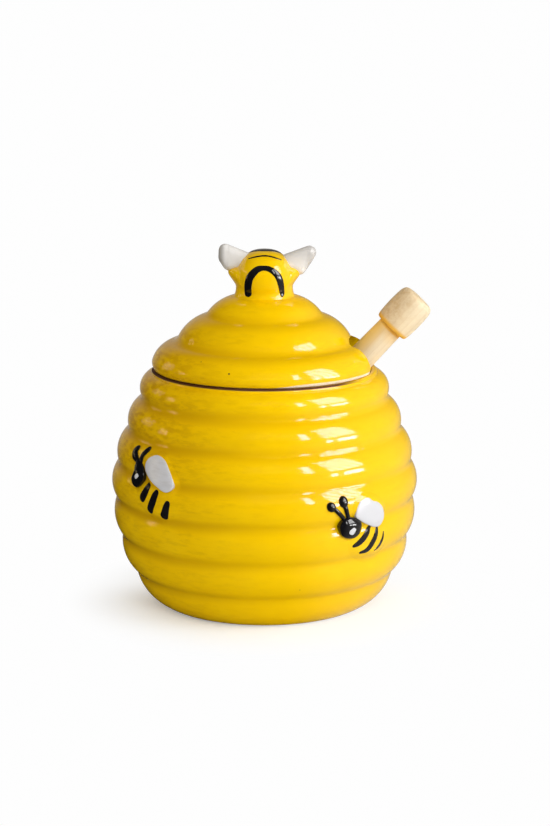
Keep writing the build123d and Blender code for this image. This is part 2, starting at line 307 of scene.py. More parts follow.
def smooth_path(points, count, closed=False):
    """Points of a Catmull-Rom curve through the control points."""
    points = [np.array(p, float) for p in points]
    spans = len(points) if closed else len(points) - 1
    if closed:
        padded = [points[-1]] + points + points[:2]
    else:
        padded = [2 * points[0] - points[1]] + points + [2 * points[-1] - points[-2]]
    curve = []
    for i in range(spans):
        a, b, c, d = padded[i : i + 4]
        for t in np.linspace(0, 1, count, endpoint=False):
            curve.append(
                0.5 * (2 * b + (c - a) * t + (2 * a - 5 * b + 4 * c - d) * t**2 + (3 * b - a - 3 * c + d) * t**3)
            )
    if not closed:
        curve.append(points[-1])
    return curve


def pad(name, outline, surface, rise, flatness=2.0, rings=14, sink=0.3):
    """Domed pad with a smooth outline, laid on a surface; flatness squares its dome."""
    edge = smooth_path(outline, 7, closed=True)
    count = len(edge)
    centre = sum(edge) / count
    vertices, faces = [], []
    for ring in range(1, rings + 1):
        share = sin(pi / 2 * ring / rings)
        height = rise * max(0.0, 1 - share**flatness) ** 0.5
        for point in edge:
            place, normal = surface(*(centre + (point - centre) * share))
            vertices.append(place + normal * height)
    for point in edge:
        place, normal = surface(*point)
        vertices.append(place - normal * sink)
    for ring in range(rings):
        for i in range(count):
            j = (i + 1) % count
            low, high = ring * count, (ring + 1) * count
            faces.append((low + i, low + j, high + j, high + i))
    place, normal = surface(*centre)
    vertices += [place + normal * rise, place - normal * sink]
    top, bottom = len(vertices) - 2, len(vertices) - 1
    for i in range(count):
        j = (i + 1) % count
        faces.append((top, j, i))
        faces.append((bottom, rings * count + i, rings * count + j))
    return new_object(name, vertices, faces)


def stroke(name, path, surface, rise, across=8, sink=0.3, step=0.35):
    """Domed brush stroke with round ends; path points are (along, across, half width)."""
    curve = smooth_path(path, 12)
    lengths = [0.0]
    for a, b in zip(curve, curve[1:]):
        lengths.append(lengths[-1] + hypot(*(b - a)[:2]))
    total = lengths[-1]
    count = max(12, int(total / step))
    stations = []
    for i in range(count + 1):
        # closer stations at the two round ends
        share = 0.5 - 0.5 * cos(pi * i / count)
        at = share * total
        stations.append([np.interp(at, lengths, [c[k] for c in curve]) for k in range(3)] + [at])
    vertices = []
    for i, (along, sideways, half, at) in enumerate(stations):
        before, after = stations[max(i - 1, 0)], stations[min(i + 1, count)]
        way = np.array([after[0] - before[0], after[1] - before[1]])
        way /= hypot(*way)
        end = min(at, total - at) / max(half, 1e-6)
        taper = sqrt(max(0.0, 1 - (1 - min(end, 1)) ** 2))
        reach = max(half * taper, 0.02)
        lift = rise * min(1.0, half / 0.6) * max(taper, 0.02)
        for k in range(across + 1):
            turn = -pi / 2 + pi * k / across
            place, normal = surface(
                along - way[1] * reach * sin(turn), sideways + way[0] * reach * sin(turn)
            )
            vertices.append(place + normal * lift * cos(turn) ** 0.7 if 0 < k < across else place)
        for side in (1, -1):
            place, normal = surface(along - way[1] * reach * side, sideways + way[0] * reach * side)
            vertices.append(place - normal * sink)
    row = across + 3
    faces = []
    for i in range(count):
        for k in range(row):
            m = (k + 1) % row
            faces.append((i * row + k, i * row + m, (i + 1) * row + m, (i + 1) * row + k))
    faces.append(tuple(range(row)))
    faces.append(tuple(count * row + k for k in range(row))[::-1])
    return new_object(name, vertices, faces)


# ---- The pot's wall ----------------------------------------------------------------------------
def wall_arcs():
    """The wall's profile as arcs: centre radius, centre height, radius, top height, side."""
    low, circles = (FOOT_RADIUS, 0.0), []
    for height, radius, bulge in POT_COILS:
        high = (radius, low[1] + height)
        run, rise = high[0] - low[0], high[1] - low[1]
        chord = hypot(run, rise)
        arc_radius = (chord**2 / 4 + bulge**2) / (2 * bulge)
        depth = arc_radius - bulge
        circles.append(
            (
                (low[0] + high[0]) / 2 - depth * rise / chord,
                (low[1] + high[1]) / 2 + depth * run / chord,
                arc_radius,
            )
        )
        low = high
    arcs = []
    for lower, upper in zip(circles, circles[1:]):
        reach_low, reach_high = lower[2] + SEAM_ROUND, upper[2] + SEAM_ROUND
        run, rise = upper[0] - lower[0], upper[1] - lower[1]
        span = hypot(run, rise)
        along = (reach_low**2 - reach_high**2 + span**2) / (2 * span)
        aside = sqrt(reach_low**2 - along**2)
        valley = (
            lower[0] + (along * run + aside * rise) / span,
            lower[1] + (along * rise - aside * run) / span,
        )
        touch_low = lower[1] + (valley[1] - lower[1]) * lower[2] / reach_low
        touch_high = upper[1] + (valley[1] - upper[1]) * upper[2] / reach_high
        arcs.append((*lower, touch_low, 1))
        arcs.append((*valley, SEAM_ROUND, touch_high, -1))
    arcs.append((*circles[-1], low[1], 1))
    return arcs


WALL_ARCS = wall_arcs()


def wall_radius(height):
    """Radius of the pot's outside at a height."""
    for centre, middle, radius, top, side in WALL_ARCS:
        if height <= top:
            return centre + side * sqrt(max(0.0, radius**2 - (height - middle) ** 2))
    return POT_COILS[-1][1]


def crest_radius(height):
    """Radius over the crests of the coils at a height."""
    low = (FOOT_RADIUS, 0.0)
    level = sum(coil[2] for coil in POT_COILS) / len(POT_COILS)
    for rise, radius, _ in POT_COILS:
        high = (radius, low[1] + rise)
        if height <= high[1]:
            return low[0] + (high[0] - low[0]) * (height - low[1]) / rise + level
        low = high
    return low[0] + level


def swelling(bee, along, across):
    """How far the wall fills out to the bee's form at a place, and the rise of that form."""
    kept, rise, weight = 1.0, 0.0, 1e-9
    for middle_along, middle_across, half_length, half_width, height, softness in bee["swells"]:
        distance = hypot((along - middle_along) / half_length, (across - middle_across) / half_width)
        share = min(max((1 - distance) / softness, 0.0), 1.0)
        share = share * share * (3 - 2 * share)
        kept *= 1 - share
        rise += share * height
        weight += share
    return 1 - kept, rise / weight


def bee_point(bee, face, along, across, lift=0.0, level=None):
    """Point on the wall with the bee's swellings, for a place in the bee's flat drawing."""
    lean = radians(bee["lean"])
    sideways = along * cos(lean) - across * sin(lean)
    height = bee["height"] + along * sin(lean) + across * cos(lean)
    turn = radians(BEE_FACES[face] + bee["azimuth"]) + sideways / crest_radius(bee["height"])
    share, rise = (1, level) if level is not None else swelling(bee, along, across)
    wall = wall_radius(height)
    radius = wall + share * (crest_radius(height) + rise - wall) + lift
    return Vector((radius * sin(turn), -radius * cos(turn), height))


def bee_surface(bee, face, level=None):
    """Function from a place in the bee's flat drawing to a point and its normal.

    The point lies on the wall with its swellings, or at a level over the crests of the coils.
    """

    def at(along, across):
        return bee_point(bee, face, along, across, level=level)

    def surface(along, across):
        step = 0.1
        east = at(along + step, across) - at(along - step, across)
        north = at(along, across + step) - at(along, across - step)
        return at(along, across), east.cross(north).normalized()

    return surface


def bee_swell(name, bee, face):
    """The bee's body as a soft swelling that runs out into the wall."""
    spacing = 0.4
    low = [min(s[k] - s[k + 2] for s in bee["swells"]) for k in (0, 1)]
    high = [max(s[k] + s[k + 2] for s in bee["swells"]) for k in (0, 1)]
    columns, rows = (int((high[k] - low[k]) / spacing) + 2 for k in (0, 1))
    vertices, shares = [], []
    for depth in (0, 1):
        for j in range(rows):
            for i in range(columns):
                along, across = low[0] + i * spacing, low[1] + j * spacing
                share, _ = swelling(bee, along, across)
                shares.append(share)
                sunk = 0.08 * (1 - min(share / 0.12, 1.0)) ** 2
                vertices.append(bee_point(bee, face, along, across, -sunk - 0.5 * depth))
    layer = rows * columns
    kept = set()
    for j in range(rows - 1):
        for i in range(columns - 1):
            corner = j * columns + i
            ring = (corner, corner + 1, corner + columns + 1, corner + columns)
            if max(shares[c] for c in ring) > 0.0004:
                kept.add(ring)
    edges = {edge for ring in kept for edge in zip(ring, ring[1:] + ring[:1])}
    faces = list(kept) + [tuple(c + layer for c in ring[::-1]) for ring in kept]
    faces += [(b, a, a + layer, b + layer) for a, b in edges if (b, a) not in edges]
    used = sorted({c for f in faces for c in f})
    index = {c: n for n, c in enumerate(used)}
    return new_object(name, [vertices[c] for c in used], [tuple(index[c] for c in f) for f in sorted(faces)])


# ---- The knob's figure -------------------------------------------------------------------------
def egg_points(x, y, z, a, b, c, roundness=1.0, count=16):
    """Points on an egg; a roundness below 1 squares it."""

    def fuller(share):
        return copysign(abs(share) ** roundness, share)

    return [
        (x + a * fuller(cos(t)) * fuller(cos(u)), y + b * fuller(cos(t)) * fuller(sin(u)), z + c * fuller(sin(t)))
        for t in np.linspace(-pi / 2, pi / 2, count)
        for u in np.linspace(0, 2 * pi, 2 * count, endpoint=False)
    ]


def add_hull(work, points):
    """Adds the tight skin around the points."""
    corners = [work.verts.new(Vector(p) * MM) for p in points]
    hull = bmesh.ops.convex_hull(work, input=corners)
    spare = [v for v in hull["geom_interior"] + hull["geom_unused"] if isinstance(v, bmesh.types.BMVert)]
    bmesh.ops.delete(work, geom=list(set(spare)), context="VERTS")


def add_turned(work, profile, sides=64):
    """Adds a closed turned form about the pot's axis."""
    rings = [
        [
            work.verts.new(Vector((r * cos(2 * pi * i / sides), r * sin(2 * pi * i / sides), z)) * MM)
            for i in range(sides if r else 1)
        ]
        for r, z in profile
    ]
    for low, high in zip(rings, rings[1:]):
        for i in range(sides):
            j = (i + 1) % sides
            ring = [low[i % len(low)], low[j % len(low)], high[j % len(high)], high[i % len(high)]]
            work.faces.new(list(dict.fromkeys(ring)))


def soft_skin(name, build, voxel, passes):
    """One smooth skin over the forms that build adds, with their creases rounded."""
    work = bmesh.new()
    build(work)
    bmesh.ops.recalc_face_normals(work, faces=work.faces)
    mesh = bpy.data.meshes.new(name)
    work.to_mesh(mesh)
    work.free()
    piece = bpy.data.objects.new(name, mesh)
    bpy.context.scene.collection.objects.link(piece)
    remesh = piece.modifiers.new("skin", "REMESH")
    remesh.mode = "VOXEL"
    remesh.voxel_size = voxel * MM
    remesh.use_smooth_shade = True
    smoothing = piece.modifiers.new("soften", "SMOOTH")
    smoothing.factor = 0.5
    smoothing.iterations = passes
    apply_modifiers(piece)
    return piece


def soft_copy(name, node, voxel, passes):
    """A solid with its edges softened."""
    return soft_skin(name, lambda work: work.from_mesh(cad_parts[node].data), voxel, passes)


def knob_body(name):
    """The knob bee's body on its neck, with shoulders for the wings."""

    def build(work):
        add_turned(work, KNOB_NECK)
        add_hull(work, egg_points(*KNOB_BODY))
        for side in (-1, 1):
            add_hull(work, [p for x, *rest in KNOB_SHOULDER for p in egg_points(side * x, *rest)])

    return soft_skin(name, build, 0.35, 26)


def apply_modifiers(piece):
    """The piece's mesh with its modifiers worked in."""
    bpy.context.view_layer.update()
    result = bpy.data.meshes.new_from_object(
        piece.evaluated_get(bpy.context.evaluated_depsgraph_get())
    )
    old = piece.data
    piece.modifiers.clear()
    piece.data = result
    result.name = piece.name
    bpy.data.meshes.remove(old)


def knob_wing(name, side):
    """A thick wing with round edges, rooted in the body."""

    def build(work):
        add_hull(work, [p for egg in KNOB_WINGS[side] for p in egg_points(*egg)])

    return soft_skin(name, build, 0.3, 14)


def mesh_surface(piece, origin, toward):
    """Function from a flat place to the piece's skin, along rays given by two functions."""
    mesh = piece.data
    tree = BVHTree.FromPolygons([v.co for v in mesh.vertices], [p.vertices for p in mesh.polygons])

    def surface(across, up):
        start, direction = origin(across, up), toward(across, up)
        hit, _, index, _ = tree.ray_cast(start * MM, direction)
        if hit is None:
            raise ValueError(f"a band of {piece.name} misses it at {across:.1f}, {up:.1f}")
        ring = mesh.polygons[index].vertices
        weights = poly_3d_calc([mesh.vertices[v].co for v in ring], hit)
        normal = sum((mesh.vertices[v].normal * w for v, w in zip(ring, weights)), Vector())
        return hit / MM, normal.normalized()

    return surface


# ---- Materials ---------------------------------------------------------------------------------
def put(tree, kind, inputs=None, **settings):
    """Adds a node; an input is a value or another node's output."""
    node = tree.nodes.new(kind)
    for key, value in settings.items():
        setattr(node, key, value)
    for key, value in (inputs or {}).items():
        if isinstance(value, bpy.types.NodeSocket):
            tree.links.new(value, node.inputs[key])
        else:
            node.inputs[key].default_value = value
    return node


def math(tree, operation, a, b=0.0, c=None, clamp=False):
    """Result of a sum on values or nodes' outputs."""
    inputs = {0: a, 1: b} if c is None else {0: a, 1: b, 2: c}
    return put(tree, "ShaderNodeMath", inputs, operation=operation, use_clamp=clamp).outputs[0]


def spread(tree, value, low, high, to_low=0.0, to_high=1.0):
    """Maps a value smoothly from one range to another."""
    node = put(
        tree, "ShaderNodeMapRange", interpolation_type="SMOOTHSTEP",
        inputs={"Value": value, "From Min": low, "From Max": high, "To Min": to_low, "To Max": to_high},
    )
    return node.outputs["Result"]


def blend_colour(tree, factor, a, b):
    """Colour between a and b."""
    return put(tree, "ShaderNodeMix", {0: factor, 6: a, 7: b}, data_type="RGBA").outputs[2]


def noise(tree, vector, scale, detail=3.0, roughness=0.5):
    """Soft random values between 0 and 1 over a place."""
    node = put(
        tree, "ShaderNodeTexNoise",
        inputs={"Vector": vector, "Scale": scale, "Detail": detail, "Roughness": roughness},
    )
    return node.outputs["Fac"]


def new_group(name, inputs, outputs):
    """Empty shader group with named sockets; returns the tree, its inputs and its output node."""
    tree = bpy.data.node_groups.new(name, "ShaderNodeTree")
    for label, kind, default in inputs:
        socket = tree.interface.new_socket(label, in_out="INPUT", socket_type=kind)
        socket.default_value = default
    for label, kind in outputs:
        tree.interface.new_socket(label, in_out="OUTPUT", socket_type=kind)
    source = tree.nodes.new("NodeGroupInput")
    target = tree.nodes.new("NodeGroupOutput")
    return tree, source.outputs, target.inputs


def millimetres(tree):
    """Places on the object in millimetres."""
    place = put(tree, "ShaderNodeTexCoord").outputs["Object"]
    scaled = put(tree, "ShaderNodeVectorMath", operation="SCALE", inputs={0: place, "Scale": 1 / MM})
    return scaled.outputs["Vector"]


def glaze_group():
    """Run, streaked and pinholed colour of a fired glaze, with painted shade in streaks that grow heavier to the
    left and upwards, and its ripples as a height.
    """
    tree, given, out = new_group(
        "Fired glaze",
        [
            ("Colour", "NodeSocketColor", (0.8, 0.8, 0.8, 1)),
            ("Pooled", "NodeSocketColor", (0.6, 0.6, 0.6, 1)),
            ("Thin", "NodeSocketColor", (0.9, 0.9, 0.9, 1)),
            ("Pooling", "NodeSocketFloat", 0.0),
            ("Streaks", "NodeSocketFloat", 0.5),
            ("Specks", "NodeSocketFloat", 0.5),
            ("Brush", "NodeSocketVector", (1.0, 1.0, 4.0)),
            ("Roughness", "NodeSocketFloat", 0.07),
        ],
        [("Colour", "NodeSocketColor"), ("Roughness", "NodeSocketFloat"), ("Height", "NodeSocketFloat")],
    )
    place = millimetres(tree)
    flat = put(tree, "ShaderNodeVectorMath", operation="MULTIPLY", inputs={0: place, 1: given["Brush"]})
    brushed = noise(tree, flat.outputs["Vector"], 0.17, 3.0, 0.6)
    clouds = noise(tree, place, 0.06, 3.0, 0.55)
    ripples = noise(tree, place, 0.16, 2.0, 0.4)
    peel = noise(tree, place, 1.4, 2.0, 0.5)
    parts = put(tree, "ShaderNodeSeparateXYZ", inputs={0: place}).outputs
    # Painted shade: the dark streaks and smudges grow stronger towards the dim left side and higher up.
    mottle_and_shade = math(tree, "MULTIPLY", spread(tree, parts["X"], 5.0, -41.0, 0.3, 1.5), given["Streaks"])
    mottle_and_shade = math(tree, "MULTIPLY", mottle_and_shade, spread(tree, parts["Z"], 18.0, 58.0, 0.5, 1.0))
    streaks = math(tree, "MULTIPLY", spread(tree, brushed, 0.38, 0.80), mottle_and_shade)
    smudges = math(tree, "MULTIPLY", spread(tree, clouds, 0.46, 0.86), mottle_and_shade)
    pooled_and_shaded = math(tree, "MAXIMUM", given["Pooling"], math(tree, "MAXIMUM", streaks, smudges), clamp=True)
    thinned = math(tree, "MULTIPLY", spread(tree, clouds, 0.48, 0.25), given["Streaks"])
    colour = blend_colour(tree, thinned, given["Colour"], given["Thin"])
    colour = blend_colour(tree, pooled_and_shaded, colour, given["Pooled"])
    pinhole = None
    for *centre, radius in PINHOLES:
        away = put(
            tree, "ShaderNodeVectorMath", operation="DISTANCE", inputs={0: place, 1: tuple(centre)}
        ).outputs["Value"]
        spot = spread(tree, away, radius, radius * 0.6)
        pinhole = spot if pinhole is None else math(tree, "MAXIMUM", pinhole, spot)
    pinhole = math(tree, "MULTIPLY", pinhole, given["Specks"])
    colour = blend_colour(tree, pinhole, colour, (0.08, 0.03, 0.01, 1))
    roughness = math(tree, "MULTIPLY_ADD", peel, 0.03, given["Roughness"])
    height = math(tree, "MULTIPLY_ADD", peel, 0.012, math(tree, "MULTIPLY", ripples, 0.8))
    height = math(tree, "MULTIPLY_ADD", pinhole, -0.5, height)
    tree.links.new(colour, out["Colour"])
    tree.links.new(roughness, out["Roughness"])
    tree.links.new(height, out["Height"])
    return tree


def seam_group():
    """Mask of the valleys between the coils of the pot and the lid."""
    tree, _, out = new_group("Coil seams", [], [("Mask", "NodeSocketFloat")])
    height = put(tree, "ShaderNodeSeparateXYZ", inputs={0: millimetres(tree)}).outputs["Z"]
    wobble = noise(tree, millimetres(tree), 0.05, 1.0)
    height = math(tree, "MULTIPLY_ADD", wobble, 1.2, math(tree, "SUBTRACT", height, 0.6))
    mask = None
    for seam in POT_SEAM_HEIGHTS + LID_SEAM_HEIGHTS:
        away = math(tree, "ABSOLUTE", math(tree, "SUBTRACT", height, seam))
        near = spread(tree, away, 3.6, 0.2)
        mask = near if mask is None else math(tree, "MAXIMUM", mask, near)
    tree.links.new(mask, out["Mask"])
    return tree


def grain_group():
    """Grain of plain beech: growth lines, short flecks and their height."""
    tree, given, out = new_group(
        "Beech grain",
        [
            ("Light", "NodeSocketColor", (0.8, 0.7, 0.5, 1)),
            ("Dark", "NodeSocketColor", (0.6, 0.4, 0.2, 1)),
            ("Contrast", "NodeSocketFloat", 0.5),
        ],
        [
            ("Colour", "NodeSocketColor"), ("Height", "NodeSocketFloat"), ("Along", "NodeSocketFloat"),
            ("Across", "NodeSocketFloat"),
        ],
    )
    place = millimetres(tree)
    moved = put(tree, "ShaderNodeVectorMath", operation="SUBTRACT", inputs={0: place, 1: DIPPER_TIP})
    turned = put(
        tree, "ShaderNodeVectorRotate", rotation_type="Y_AXIS",
        inputs={"Vector": moved.outputs["Vector"], "Angle": -radians(90 - DIPPER_LEAN)},
    ).outputs["Vector"]
    parts = put(tree, "ShaderNodeSeparateXYZ", inputs={0: turned})
    squeezed = put(tree, "ShaderNodeVectorMath", operation="MULTIPLY", inputs={0: turned, 1: (1, 1, 0.06)})
    wander = noise(tree, squeezed.outputs["Vector"], 0.35, 3.0, 0.6)
    pith = put(
        tree, "ShaderNodeCombineXYZ",
        inputs={
            0: math(tree, "ADD", parts.outputs["X"], 26.0),
            1: math(tree, "ADD", parts.outputs["Y"], 9.0),
        },
    )
    radius = put(tree, "ShaderNodeVectorMath", operation="LENGTH", inputs={0: pith.outputs[0]}).outputs["Value"]
    rings = math(tree, "MULTIPLY_ADD", wander, 3.0, radius)
    lines = math(tree, "FRACT", math(tree, "MULTIPLY", rings, 0.42))
    late = math(tree, "MULTIPLY", spread(tree, lines, 0.35, 0.95), spread(tree, lines, 1.0, 0.96))
    flecks = put(tree, "ShaderNodeVectorMath", operation="MULTIPLY", inputs={0: turned, 1: (2.2, 2.2, 0.45)})
    flecks = spread(tree, noise(tree, flecks.outputs["Vector"], 1.0, 2.0, 0.5), 0.60, 0.72)
    fibres = put(tree, "ShaderNodeVectorMath", operation="MULTIPLY", inputs={0: turned, 1: (3.5, 3.5, 0.1)})
    fibres = noise(tree, fibres.outputs["Vector"], 1.0, 2.0, 0.6)
    mix = math(tree, "MULTIPLY_ADD", flecks, 0.45, math(tree, "MULTIPLY", late, 0.5))
    mix = math(tree, "MULTIPLY_ADD", fibres, 0.35, mix)
    mix = math(tree, "MULTIPLY", mix, given["Contrast"], clamp=True)
    tree.links.new(blend_colour(tree, mix, given["Light"], given["Dark"]), out["Colour"])
    tree.links.new(math(tree, "MULTIPLY", mix, -1.0), out["Height"])
    tree.links.new(parts.outputs["Z"], out["Along"])
    tree.links.new(parts.outputs["X"], out["Across"])
    return tree


def use_group(tree, name, build, inputs=None):
    """Outputs of a shader group, which is built when it is first used."""
    group = bpy.data.node_groups.get(name) or build()
    return put(tree, "ShaderNodeGroup", inputs, node_tree=group).outputs


def new_material(name):
    """Material with a Principled shader; returns it with its tree and shader."""
    material = bpy.data.materials.new(name)
    material.use_nodes = True
    tree = material.node_tree
    shader = next(n for n in tree.nodes if n.type == "BSDF_PRINCIPLED")
    return material, tree, shader


def join(tree, shader, **sockets):
    """Feeds nodes' outputs into the shader's named inputs."""
    for label, value in sockets.items():
        tree.links.new(value, shader.inputs[label.replace("_", " ")])


def glaze_material(name, colour, pooled_and_shaded, thin, streaks, specks, pooling=None, bare=None, line=None, **looks):
    """A glossy glaze; pooling, bare and line give masks of run glaze with painted shade, of unglazed clay, and of
    a painted shadow line under the lid.
    """
    glaze = bpy.context.scene.honey_pot_glaze
    material, tree, shader = new_material(name)
    out = use_group(
        tree, "Fired glaze", glaze_group,
        {
            "Colour": colour, "Pooled": pooled_and_shaded, "Thin": thin, "Pooling": pooling(tree) if pooling else 0.0,
            "Streaks": streaks, "Specks": specks, "Brush": looks.get("brush", (1.0, 1.0, 4.0)),
            "Roughness": looks.get("roughness", glaze.roughness),
        },
    )
    base, rough = out["Colour"], out["Roughness"]
    shader.inputs["IOR"].default_value = 1.52
    shader.inputs["Specular Tint"].default_value = looks.get("tint", (1, 1, 1, 1))
    if bare:
        mask = bare(tree)
        clay = noise(tree, millimetres(tree), 2.5, 3.0)
        speckled = blend_colour(tree, spread(tree, clay, 0.3, 0.7), glaze.bisque, (0.84, 0.68, 0.48, 1))
        base = blend_colour(tree, mask, base, speckled)
        rough = math(tree, "MULTIPLY_ADD", mask, 0.75, rough)
    if line:
        mask = line(tree)
        # Painted shadow: dark brown in the gap under the lid's edge.
        base = blend_colour(tree, mask, base, (0.075, 0.026, 0.001, 1))
        rough = math(tree, "MULTIPLY_ADD", mask, 0.6, rough)
    bump = put(tree, "ShaderNodeBump", inputs={"Strength": 1.0, "Distance": 0.09 * MM, "Height": out["Height"]})
    join(tree, shader, Base_Color=base, Roughness=rough, Normal=bump.outputs[0])
    return material


def height_of(tree):
    """Height in millimetres."""
    return put(tree, "ShaderNodeSeparateXYZ", inputs={0: millimetres(tree)}).outputs["Z"]


def foot_bare(tree):
    """The pot is bare clay where it stands."""
    return spread(tree, height_of(tree), 0.7, 0.4)


def seam_pooling_and_shade(tree):
    """Darker glaze in the valleys between the coils, partly run glaze and partly painted shade, strongest on the
    dim left; and painted shade mottled over the upper left.
    """
    parts = put(tree, "ShaderNodeSeparateXYZ", inputs={0: millimetres(tree)}).outputs
    # Painted shade: the valleys darken more on the dim left than on the lit right.
    share = spread(tree, parts["X"], -45.0, 5.0, 0.8, 0.3)
    share = math(tree, "MULTIPLY", share, spread(tree, parts["X"], 5.0, 40.0, 1.0, 0.45))
    share = math(tree, "MULTIPLY", share, spread(tree, parts["Z"], 14.0, 50.0, 0.7, 1.0))
    run = math(tree, "MULTIPLY", use_group(tree, "Coil seams", seam_group)["Mask"], share)
    flat = put(tree, "ShaderNodeVectorMath", operation="MULTIPLY", inputs={0: millimetres(tree), 1: (1, 1, 3.2)})
    mottled = spread(tree, noise(tree, flat.outputs["Vector"], 0.2, 4.0, 0.6), 0.4, 0.62, 0.4, 1.3)
    # Painted shade: dark mottling over the upper left of the pot and the lid.
    thick = math(
        tree, "MULTIPLY", spread(tree, parts["X"], -4.0, -42.0, 0.0, 0.64), spread(tree, parts["Z"], 26.0, 66.0)
    )
    return math(tree, "MAXIMUM", run, math(tree, "MULTIPLY", thick, mottled, clamp=True))


def tip_grey_and_shade(tree):
    """The white lies thin and grey over the wings' tips and tops; the stronger grey at the left wing's outer tip
    is painted shade.
    """
    parts = put(tree, "ShaderNodeSeparateXYZ", inputs={0: millimetres(tree)}).outputs
    out = spread(tree, math(tree, "ABSOLUTE", parts["X"]), 13.0, 16.2)
    # Painted shade: the outer tip greys more on the dim left wing.
    out = math(tree, "MULTIPLY", out, spread(tree, parts["X"], 5.0, -5.0, 0.6, 0.95))
    up = spread(tree, parts["Z"], 121.0, 127.0)
    up = math(tree, "MULTIPLY", up, spread(tree, parts["X"], 5.0, -5.0, 0.42, 0.18))
    return math(tree, "MAXIMUM", out, up)


def lid_gap_painted_shadow(tree):
    """Painted shadow: a dark brown line on the lip's outer edge, in the gap under the lid, most on the left."""
    place = millimetres(tree)
    parts = put(tree, "ShaderNodeSeparateXYZ", inputs={0: place}).outputs
    flat = put(tree, "ShaderNodeVectorMath", operation="MULTIPLY", inputs={0: place, 1: (1, 1, 0)})
    radius = put(tree, "ShaderNodeVectorMath", operation="LENGTH", inputs={0: flat.outputs[0]}).outputs["Value"]
    over = math(tree, "SUBTRACT", radius, spread(tree, parts["X"], -24.0, 30.0, 38.9, 39.5))
    outer = math(tree, "MULTIPLY", spread(tree, over, 0.0, 0.5), spread(tree, parts["Z"], 84.55, 84.95))
    return math(tree, "MULTIPLY", outer, spread(tree, parts["X"], 38.0, 25.0))


def seat_bare(tree):
    """The lid is bare where it sits, and the pale bisque colour rises up its lower edge towards the right."""
    place = millimetres(tree)
    parts = put(tree, "ShaderNodeSeparateXYZ", inputs={0: place}).outputs
    pale_edge_height = spread(tree, parts["X"], 0.0, 16.0, -0.35, 0.85)
    pale_edge_height = math(tree, "MULTIPLY_ADD", noise(tree, place, 0.2), 0.3, pale_edge_height)
    over = math(tree, "SUBTRACT", parts["Z"], math(tree, "ADD", pale_edge_height, LID_BOTTOM))
    return spread(tree, over, 0.12, -0.12)


def beech_material():
    """Plain turned beech, with brown blotches and painted shade on the cap, painted yellow bounce light under the
    cap, and honey's colour towards the tip.
    """
    wood = bpy.context.scene.honey_pot_wood
    material, tree, shader = new_material("turned_beech")
    tones = {"Light": wood.light, "Dark": wood.dark, "Contrast": 0.34}
    out = use_group(tree, "Beech grain", grain_group, tones)
    along, across = out["Along"], out["Across"]
    cap_start = DIPPER_LENGTH - CAP_LENGTH
    blotches = noise(tree, millimetres(tree), 0.5, 4.0, 0.7)
    upper = spread(tree, across, 3.0, -5.5)
    # Random brown blotches on the cap, with painted shade darkening its upper side
    blotches = spread(tree, blotches, 0.36, 0.66)
    blotches_and_shade = math(tree, "MULTIPLY", blotches, math(tree, "MULTIPLY_ADD", upper, 0.35, 0.1))
    blotches_and_shade = math(tree, "MULTIPLY_ADD", upper, 0.32, math(tree, "ADD", blotches_and_shade, 0.04))
    blotches_and_shade = math(tree, "MULTIPLY", blotches_and_shade, spread(tree, along, cap_start, cap_start + 1))
    colour = blend_colour(tree, blotches_and_shade, out["Colour"], wood.dark)
    # Painted bounce light from the yellow pot turns the groove under the cap and the upper side of the handle
    # orange
    away = math(tree, "ABSOLUTE", math(tree, "SUBTRACT", along, cap_start))
    groove = spread(tree, away, 2.0, 0.7, 0.0, 0.95)
    below_cap = spread(tree, along, cap_start + 0.5, cap_start - 0.5)
    handle = math(tree, "MULTIPLY", below_cap, spread(tree, across, 0.8, -4.8, 0.0, 0.8))
    near_cap = math(tree, "MULTIPLY", below_cap, spread(tree, along, cap_start - 7.0, cap_start, 0.0, 0.45))
    stain_and_bounce = math(tree, "MAXIMUM", groove, math(tree, "MAXIMUM", handle, near_cap))
    # Honey colours the part that dips into the pot, growing towards the tip.
    stain_and_bounce = math(tree, "MAXIMUM", stain_and_bounce, spread(tree, along, 48.0, 20.0, 0.0, 0.5))
    # Painted bounce light: a lighter gold on the handle's upper side.
    gold = blend_colour(tree, handle, wood.stain, (1.0, 0.68, 0.14, 1))
    colour = blend_colour(tree, stain_and_bounce, colour, gold)
    bump = put(tree, "ShaderNodeBump", inputs={"Strength": 0.6, "Distance": 0.06 * MM, "Height": out["Height"]})
    join(tree, shader, Base_Color=colour, Normal=bump.outputs[0])
    shader.inputs["Roughness"].default_value = 0.5
    shader.inputs["Specular IOR Level"].default_value = 0.25
    return material


def dress(piece, material):
    """Gives every face of a piece or node the material."""
    if piece.material_slots:
        for material_slot in piece.material_slots:
            material_slot.material = material
    else:
        piece.data.materials.append(material)


def glazes():
    """The object's glazes, made once."""
    glaze = bpy.context.scene.honey_pot_glaze
    if "yellow_glaze" not in bpy.data.materials:
        yellow = (glaze.yellow, glaze.pooled_and_shaded, glaze.thin)
        warm = {"tint": (1.0, 0.55, 1.0, 1)}
        glaze_material("yellow_glaze", *yellow, 0.5, 1.0, seam_pooling_and_shade, foot_bare, lid_gap_painted_shadow, **warm)
        glaze_material("lid_yellow_glaze", *yellow, 0.6, 1.0, seam_pooling_and_shade, seat_bare, **warm)
        glaze_material("knob_yellow_glaze", *yellow, 0.35, 0.0, **warm)
        white = (glaze.white, (0.50, 0.49, 0.50, 1), (0.76, 0.76, 0.78, 1))
        glaze_material("white_glaze", *white, 0.4, 0.0, roughness=0.2)
        wing = ((0.86, 0.85, 0.84, 1), (0.38, 0.36, 0.34, 1), white[2])
        glaze_material("wing_white_glaze", *wing, 0.9, 0.0, tip_grey_and_shade, brush=(2.2, 1.0, 0.6))
        glaze_material("black_glaze", glaze.black, (0.002, 0.002, 0.003, 1), (0.02, 0.02, 0.022, 1), 0.5, 0.0)
    return bpy.data.materials


